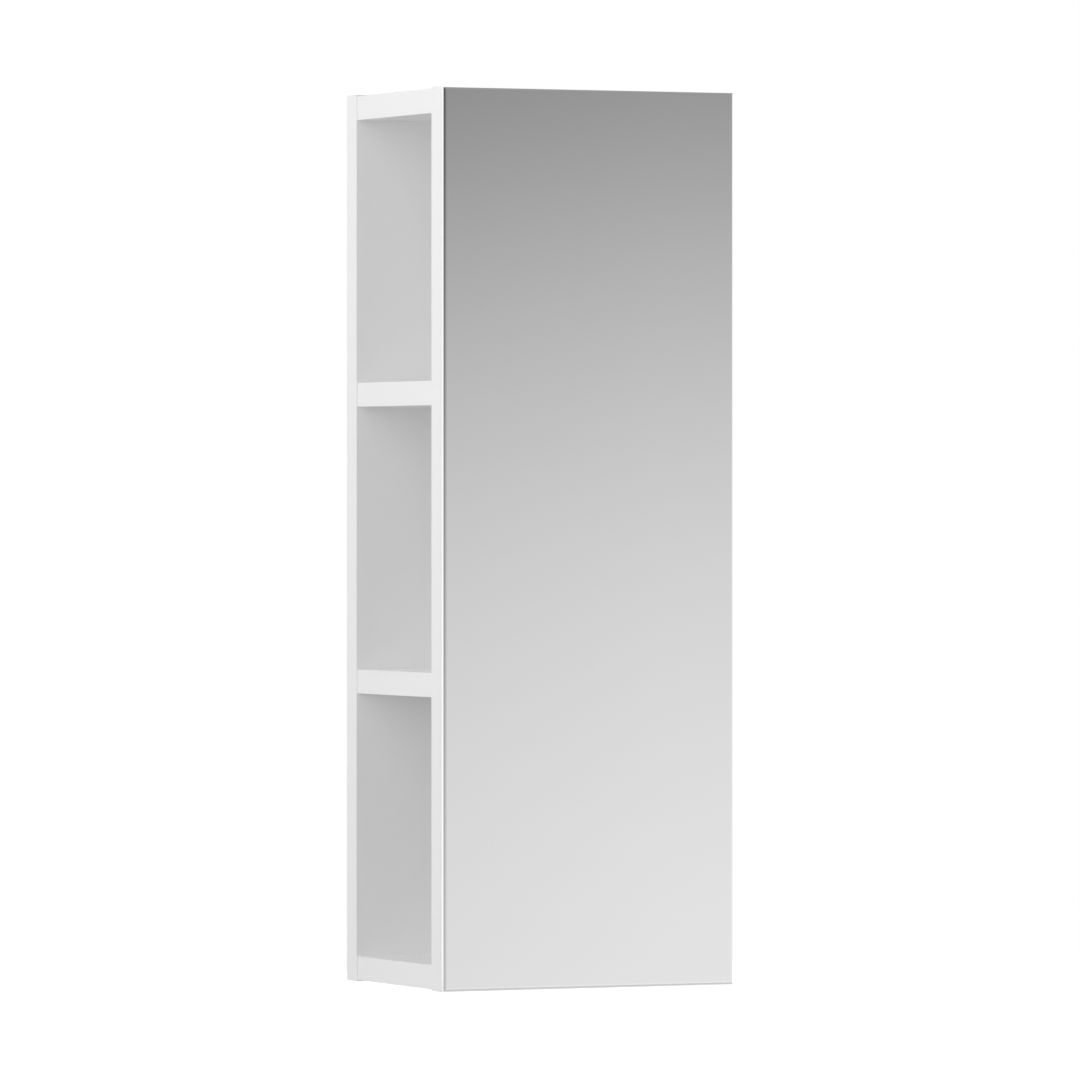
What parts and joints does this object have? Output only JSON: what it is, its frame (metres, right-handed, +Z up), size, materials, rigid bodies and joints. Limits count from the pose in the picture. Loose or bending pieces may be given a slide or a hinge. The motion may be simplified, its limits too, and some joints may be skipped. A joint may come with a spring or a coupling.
{
  "type": "mirror cabinet",
  "caption": "Tall narrow wall-hung bathroom cabinet in white board with open niches at the side and a full-height mirrored door hinged at the other side.",
  "frame": {"origin": "middle of the back panel's rear face, which lies on the wall", "axes": "+X to the right as seen from the front, +Y into the wall, +Z up"},
  "size_m": [0.2531, 0.187, 0.7],
  "materials": {
    "white_board": "satin white lacquer",
    "mirror": "silvered float glass with a small polished bevel",
    "steel": "nickel-plated",
    "cast_zinc": "bare die casting",
    "beech": "fluted beech",
    "white_plastic": "matt",
    "clear_rubber": "soft, slightly cloudy",
    "foam_tape": "double-sided foam tape",
    "magnet": "nickel-plated"
  },
  "bodies": {
    "cabinet": {"back_panel": "white_board", "side_panel": "white_board", "bottom_panel": "white_board", "lower_shelf": "white_board", "upper_shelf": "white_board", "top_panel": "white_board", "left_hanger_plate": "steel", "right_hanger_plate": "steel", "hanger_screws": "steel", "back_panel_screws": "steel", "upper_hinge_frame_leaf": "steel", "lower_hinge_frame_leaf": "steel", "upper_hinge_pin": "steel", "lower_hinge_pin": "steel", "frame_leaf_screws": "steel", "cam_bolts": "steel", "cam_housings": "cast_zinc", "dowels": "beech", "cam_caps": "white_plastic", "catch_magnets": "magnet"},
    "door": {"door_board": "white_board", "mirror_glass": "mirror", "mirror_tape_strips": "foam_tape", "door_bumpers": "clear_rubber", "strike_discs": "steel", "upper_hinge_door_leaf": "steel", "lower_hinge_door_leaf": "steel", "door_leaf_screws": "steel"}
  },
  "joints": [
    {"name": "door_swing", "type": "hinge", "parent": "cabinet", "child": "door", "pos_m": [0.1266, -0.16375, 0], "axis": [0, 0, 1], "range_deg": [0, 170]}
  ]
}
